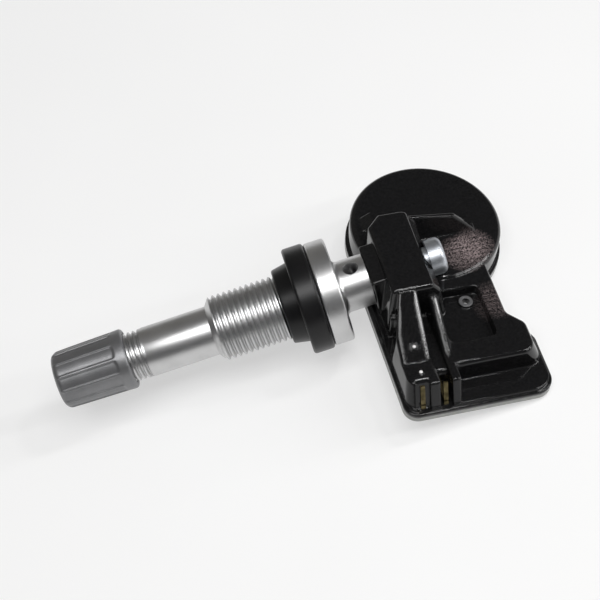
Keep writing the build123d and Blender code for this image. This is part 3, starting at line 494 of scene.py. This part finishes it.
class Nodes:
    """Shader nodes that work out values and colours from a place."""

    def __init__(self, tree, coordinates):
        self.tree = tree
        self.place = self.add("ShaderNodeTexCoord").outputs[coordinates]

    def add(self, kind, operation=None):
        node = self.tree.nodes.new(kind)
        if operation:
            node.operation = operation
        return node

    def link(self, output, target):
        self.tree.links.new(output, target)

    def noise(self, per_mm, detail):
        """Noise with so many features per millimetre, the same all ways or given for X, Y and Z."""
        scales = per_mm if isinstance(per_mm, tuple) else (per_mm,) * 3
        mapping = self.add("ShaderNodeMapping")
        mapping.inputs["Scale"].default_value = [s / MM for s in scales]
        self.link(self.place, mapping.inputs["Vector"])
        texture = self.add("ShaderNodeTexNoise")
        texture.inputs["Scale"].default_value = 1
        texture.inputs["Detail"].default_value = detail
        self.link(mapping.outputs["Vector"], texture.inputs["Vector"])
        return texture.outputs["Fac"]

    def fit(self, value, low, high, start=0.35, end=0.65):
        """Maps start to low and end to high. Unless given, they enclose most of a noise texture."""
        fit = self.add("ShaderNodeMapRange")
        fit.inputs["From Min"].default_value = start
        fit.inputs["From Max"].default_value = end
        fit.inputs["To Min"].default_value = low
        fit.inputs["To Max"].default_value = high
        self.link(value, fit.inputs["Value"])
        return fit.outputs["Result"]

    def combine(self, operation, first, second):
        """One value from two outputs, such as their product or the larger one."""
        node = self.add("ShaderNodeMath", operation)
        self.link(first, node.inputs[0])
        self.link(second, node.inputs[1])
        return node.outputs["Value"]

    def times(self, first, second):
        return self.combine("MULTIPLY", first, second)

    def between(self, kind, share, ends):
        """Mix of two ends, each of which is fixed or another node's output."""
        node = self.add("ShaderNodeMix")
        node.data_type = kind
        self.link(share, node.inputs["Factor"])
        *inputs, output = MIX_SOCKETS[kind]
        for end, number in zip(ends, inputs):
            if isinstance(end, bpy.types.NodeSocket):
                self.link(end, node.inputs[number])
            else:
                node.inputs[number].default_value = end
        return node.outputs[output]

    def blend(self, share, low, high):
        """Value between two others."""
        return self.between("FLOAT", share, (low, high))

    def mix(self, share, low, high):
        """Colour between two others."""
        ends = [(*end, 1) if isinstance(end, tuple) else end for end in (low, high)]
        return self.between("RGBA", share, ends)

    def along(self, direction):
        """How far a place lies along a direction, times the direction's length."""
        dot = self.add("ShaderNodeVectorMath", "DOT_PRODUCT")
        dot.inputs[1].default_value = direction
        self.link(self.place, dot.inputs[0])
        return dot.outputs["Value"]

    def near(self, point, inner, outer):
        """Share that falls from 1 to 0 between two distances from a point, in millimetres."""
        away = self.add("ShaderNodeVectorMath", "DISTANCE")
        away.inputs[1].default_value = [v * MM for v in point]
        self.link(self.place, away.inputs[0])
        return self.fit(away.outputs["Value"], 1, 0, start=inner * MM, end=outer * MM)

    def stripes(self, pitch):
        """Soft stripes along X, from -1 to 1, with a pitch in millimetres."""
        wave = self.add("ShaderNodeMath", "SINE")
        self.link(self.along((0, 2 * pi / (pitch * MM), 0)), wave.inputs[0])
        return wave.outputs["Value"]


class Surface(Nodes):
    """A material built up from procedural textures."""

    def __init__(self, name, metallic=0.0, specular=0.5):
        self.material = bpy.data.materials.new(name)
        self.material.use_nodes = True
        super().__init__(self.material.node_tree, "Object")
        self.shader = self.tree.nodes["Principled BSDF"]
        self.shader.inputs["Metallic"].default_value = metallic
        self.shader.inputs["Specular IOR Level"].default_value = specular

    def colour(self, output):
        self.link(output, self.shader.inputs["Base Color"])

    def roughness(self, texture, rough):
        self.link(self.fit(texture, *rough), self.shader.inputs["Roughness"])

    def soften(self, radius, *places):
        """Normal that runs over edges as if they were rounder, with other radii near some places."""
        bevel = self.add("ShaderNodeBevel")
        bevel.samples = SOFTENING_SAMPLES
        for point, reach, other in places:
            radius = self.blend(self.near(point, *reach), radius, other)
        self.link(self.fit(radius, 0, MM, start=0, end=1), bevel.inputs["Radius"])
        return bevel.outputs["Normal"]

    def bumps(self, *layers, normal=None):
        """Relief from (height texture, depth in millimetres) layers."""
        for height, depth in layers:
            bump = self.add("ShaderNodeBump")
            bump.inputs["Strength"].default_value = 1
            bump.inputs["Distance"].default_value = depth * MM
            self.link(height, bump.inputs["Height"])
            if normal:
                self.link(normal, bump.inputs["Normal"])
            normal = bump.outputs["Normal"]
        self.link(normal, self.shader.inputs["Normal"])


def turned_metal(name, dark, light, rough, mark_depth):
    """Metal with fine rings left by a turning tool."""
    look = Surface(name, metallic=1.0)
    rings = look.noise(per_mm=(9, 0.12, 0.12), detail=3)
    stains = look.noise(per_mm=0.25, detail=4)
    grain = look.noise(per_mm=6, detail=2)
    grain_depth = mark_depth / 4
    look.colour(look.mix(look.fit(stains, 0, 1), dark, light))
    look.roughness(grain, rough)
    look.bumps((rings, mark_depth), (grain, grain_depth))
    return look.material


def plain_metal(name, dark, light, rough, grain_depth=0.002):
    """Stamped or drawn metal with a faint grain along X."""
    look = Surface(name, metallic=1.0)
    grain = look.noise(per_mm=(0.6, 9, 9), detail=3)
    stains = look.noise(per_mm=0.7, detail=3)
    look.colour(look.mix(look.fit(stains, 0, 1), dark, light))
    look.roughness(grain, rough)
    look.bumps((grain, grain_depth))
    return look.material


def moulded(name, dark, light, rough, grain_per_mm, grain_depth, specular=0.5, metallic=0.0):
    """Moulded plastic, rubber or resin with a fine grain."""
    look = Surface(name, metallic, specular)
    patches = look.noise(per_mm=0.3, detail=4)
    grain = look.noise(per_mm=grain_per_mm, detail=3)
    look.colour(look.mix(look.fit(patches, 0, 1), dark, light))
    look.roughness(grain, rough)
    look.bumps((grain, grain_depth))
    return look.material


def gloss_black(name, dark, light, rough, grain_depth, wave_depth, specular):
    """Glossy moulding with faint waves, a brown grain where print has rubbed off, brown specks as
    painted sheen at the right rim, and painted highlights on the pips and the port's rim.
    """
    look = Surface(name, specular=specular)
    waves = look.noise(per_mm=0.25, detail=2)
    grain = look.noise(per_mm=3.5, detail=3)
    patches = look.noise(per_mm=0.16, detail=3)
    flecks = look.noise(per_mm=(4.6, 5, 5), detail=3)
    rows = look.fit(look.stripes(PRINT_AND_SHEEN_ROW_PITCH), 0.6, 1, start=-0.9, end=0.3)
    specks = look.times(look.fit(flecks, 0, 1, start=0.41, end=0.61), rows)

    colour = look.mix(look.fit(grain, 0, 1), dark, light)
    # Brown specks in rows: rubbed print on the dome, and painted sheen at the right rim
    for spot, reach, most in PRINT_AND_SHEEN_SPOTS:
        print_and_sheen = look.fit(specks, 0, most, start=0, end=1)
        colour = look.mix(look.times(print_and_sheen, look.near(spot, reach / 2, reach)), colour, PRINT_AND_SHEEN_BROWN)
    # Painted highlights: pale paint on the port's rim and on the pips, with the port's hole kept at the
    # plain dark colour
    painted_highlights = [(PORT, PORT_RIM_R, PORT_RIM_PAINTED_HIGHLIGHT), (PORT_HOLE, PORT_HOLE_R, dark)]
    painted_highlights += [(pip, PIP_R, PIP_PAINTED_HIGHLIGHT) for pip in PIPS]
    for place, radius, paint in painted_highlights:
        colour = look.mix(look.near(place, radius - MARK_EDGE, radius), colour, paint)
    look.colour(colour)
    look.roughness(grain, rough)

    relief = look.times(grain, look.fit(patches, 0.2, 1, start=0.45, end=0.6))
    rounder = (LEGS, LEGS_REACH, LEG_SOFTENING)
    crisper = (PORT, PORT_REACH, PORT_SOFTENING)
    soft = look.soften(EDGE_SOFTENING, rounder, crisper)
    look.bumps((waves, wave_depth), (relief, grain_depth), normal=soft)
    return look.material


def laminate(name, mask, track, rough, track_depth, weave_depth):
    """Green board with paler copper tracks under its mask."""
    look = Surface(name)
    weave = look.noise(per_mm=4, detail=1)
    tracks = look.noise(per_mm=(1.4, 0.5, 1.4), detail=0)
    look.colour(look.mix(look.fit(tracks, 0, 1, start=0.5, end=0.52), mask, track))
    look.roughness(weave, rough)
    look.bumps((tracks, track_depth), (weave, weave_depth))
    return look.material


FINISHES = {
    "stem_aluminium": (turned_metal, {
        "dark": (0.55, 0.55, 0.55),
        "light": (0.61, 0.61, 0.61),
        "rough": (0.32, 0.4),
        "mark_depth": 0.001,
    }),
    "screw_steel": (turned_metal, {
        "dark": (0.5, 0.525, 0.56),
        "light": (0.6, 0.625, 0.66),
        "rough": (0.38, 0.46),
        "mark_depth": 0.001,
    }),
    "core_brass": (turned_metal, {
        "dark": (0.62, 0.46, 0.2),
        "light": (0.78, 0.6, 0.3),
        "rough": (0.22, 0.36),
        "mark_depth": 0.004,
    }),
    "contact_brass": (plain_metal, {
        "dark": (0.06, 0.05, 0.025),
        "light": (0.2, 0.165, 0.085),
        "rough": (0.3, 0.42),
    }),
    "spring_steel": (plain_metal, {
        "dark": (0.45, 0.45, 0.46),
        "light": (0.6, 0.6, 0.61),
        "rough": (0.25, 0.4),
    }),
    "cell_steel": (plain_metal, {
        "dark": (0.62, 0.62, 0.63),
        "light": (0.76, 0.76, 0.77),
        "rough": (0.2, 0.34),
    }),
    "copper": (plain_metal, {
        "dark": (0.6, 0.28, 0.14),
        "light": (0.8, 0.4, 0.22),
        "rough": (0.25, 0.4),
    }),
    "cap_plastic": (moulded, {
        "dark": (0.182, 0.183, 0.188),
        "light": (0.222, 0.223, 0.228),
        "rough": (0.37, 0.47),
        "grain_per_mm": 4,
        "grain_depth": 0.01,
        "specular": 1.0,
        "metallic": 0.72,
    }),
    "seal_rubber": (moulded, {
        "dark": (0.004, 0.004, 0.0044),
        "light": (0.007, 0.0068, 0.0072),
        "rough": (0.3, 0.38),
        "grain_per_mm": 6,
        "grain_depth": 0.006,
        "specular": 0.3,
    }),
    "cover_plastic": (moulded, {
        "dark": (0.22, 0.225, 0.215),
        "light": (0.34, 0.345, 0.33),
        "rough": (0.35, 0.5),
        "grain_per_mm": 3,
        "grain_depth": 0.01,
    }),
    "chip_resin": (moulded, {
        "dark": (0.02, 0.02, 0.02),
        "light": (0.04, 0.04, 0.042),
        "rough": (0.45, 0.6),
        "grain_per_mm": 8,
        "grain_depth": 0.006,
    }),
    "ceramic": (moulded, {
        "dark": (0.42, 0.34, 0.25),
        "light": (0.56, 0.47, 0.36),
        "rough": (0.35, 0.5),
        "grain_per_mm": 8,
        "grain_depth": 0.004,
    }),
    "ferrite": (moulded, {
        "dark": (0.035, 0.034, 0.034),
        "light": (0.07, 0.068, 0.066),
        "rough": (0.5, 0.7),
        "grain_per_mm": 6,
        "grain_depth": 0.01,
    }),
    "filter_film": (moulded, {
        "dark": (0.7, 0.7, 0.69),
        "light": (0.84, 0.84, 0.83),
        "rough": (0.6, 0.8),
        "grain_per_mm": 12,
        "grain_depth": 0.01,
    }),
    "housing_plastic": (gloss_black, {
        "dark": (0.0045, 0.0045, 0.0047),
        "light": (0.0098, 0.0096, 0.01),
        "rough": (0.05, 0.1),
        "grain_depth": 0.012,
        "wave_depth": 0.02,
        "specular": 0.36,
    }),
    "board_laminate": (laminate, {
        "mask": (0.012, 0.09, 0.035),
        "track": (0.03, 0.17, 0.07),
        "rough": (0.3, 0.45),
        "track_depth": 0.02,
        "weave_depth": 0.004,
    }),
}
looks = {slot: make(slot, **finish) for slot, (make, finish) in FINISHES.items()}


def dress(piece, slot):
    piece.data.materials.clear()
    piece.data.materials.append(looks[slot])


# Pieces

for subpart in frame["record"]["subparts"]:
    dress(frame["nodes"][subpart["node"]], subpart["material_slot"])

stem = make_stem()
dress(stem, "stem_aluminium")
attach(stem, "sensor")
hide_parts("valve_stem")

cap = make_cap()
dress(cap, "cap_plastic")
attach(cap, "cap")
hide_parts("valve_cap")

spring = make_spring()
dress(spring, "spring_steel")
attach(spring, "sensor")
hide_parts("core_spring")
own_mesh(spring)

# Floor, light and camera


def add_floor():
    """Pale floor that is paler where it is seen or mirrored, and keeps the object's shadow."""
    half = FLOOR_HALF
    corners = [(-half, -half, 0), (half, -half, 0), (half, half, 0), (-half, half, 0)]
    mesh = bpy.data.meshes.new("floor")
    mesh.from_pydata(corners, [], [(0, 1, 2, 3)])
    floor = add_object("floor", mesh)
    floor.location.z = cad_box[0].z

    look = Surface("pale_floor")
    speckle = look.noise(per_mm=0.02, detail=2)
    look.colour(look.mix(look.fit(speckle, 0, 1), *FLOOR_COLOURS))
    look.shader.inputs["Roughness"].default_value = FLOOR_ROUGHNESS
    rays = look.add("ShaderNodeLightPath").outputs
    mirrored = look.combine("MAXIMUM", rays["Is Glossy Ray"], rays["Is Transmission Ray"])
    seen = look.combine("MAXIMUM", rays["Is Camera Ray"], mirrored)
    white = look.add("ShaderNodeEmission")
    both = look.add("ShaderNodeMixShader")
    look.link(look.fit(seen, 0, FLOOR_GLOW, start=0, end=1), both.inputs["Fac"])
    look.link(look.shader.outputs["BSDF"], both.inputs[1])
    look.link(white.outputs["Emission"], both.inputs[2])
    look.link(both.outputs["Shader"], look.tree.nodes["Material Output"].inputs["Surface"])
    mesh.materials.append(look.material)


def add_softbox(name, place, size, power, turn):
    """Rectangular lamp that faces the origin."""
    light = bpy.data.lights.new(name, "AREA")
    light.shape = "RECTANGLE"
    light.size, light.size_y = size
    light.energy = power
    lamp = add_object(name, light)
    lamp.location = place
    aim = (-Vector(place)).to_track_quat("-Z", "Y")
    lamp.rotation_euler = (aim @ Quaternion((0, 0, 1), radians(turn))).to_euler()


def add_world():
    """Dim room that is lighter behind the stem, on the left."""
    world = bpy.data.worlds.new("studio")
    world.use_nodes = True
    room = Nodes(world.node_tree, "Generated")
    side = room.fit(room.along(ROOM_LIGHT_SIDE), 0, 1, start=ROOM_LIGHT_START, end=ROOM_LIGHT_FULL)
    colour = room.mix(side, ROOM_DARK, ROOM_LIGHT)
    room.link(colour, room.tree.nodes["Background"].inputs["Color"])
    bpy.context.scene.world = world


def add_camera():
    tip = radians(VIEW_FROM_TOP)
    roll = radians(VIEW_ROLL)
    along = Vector((1, 0, 0))
    across = Vector((0, cos(tip), sin(tip)))
    towards = Vector((0, -sin(tip), cos(tip)))
    right = cos(roll) * along - sin(roll) * across
    up = sin(roll) * along + cos(roll) * across
    target = VIEW_CENTRE[0] * right + VIEW_CENTRE[1] * up
    camera = bpy.data.cameras.new("camera")
    camera.sensor_width = SENSOR
    camera.lens = LENS
    camera.clip_start = VIEW_START * MM
    holder = add_object("camera", camera)
    turn = Matrix((right, up, towards)).transposed().to_4x4()
    holder.matrix_world = Matrix.Translation((target + VIEW_DISTANCE * towards) * MM) @ turn
    bpy.context.scene.camera = holder


add_floor()
for lamp in LAMPS:
    add_softbox(*lamp)
add_world()
add_camera()
bpy.context.scene.view_settings.view_transform = "Standard"
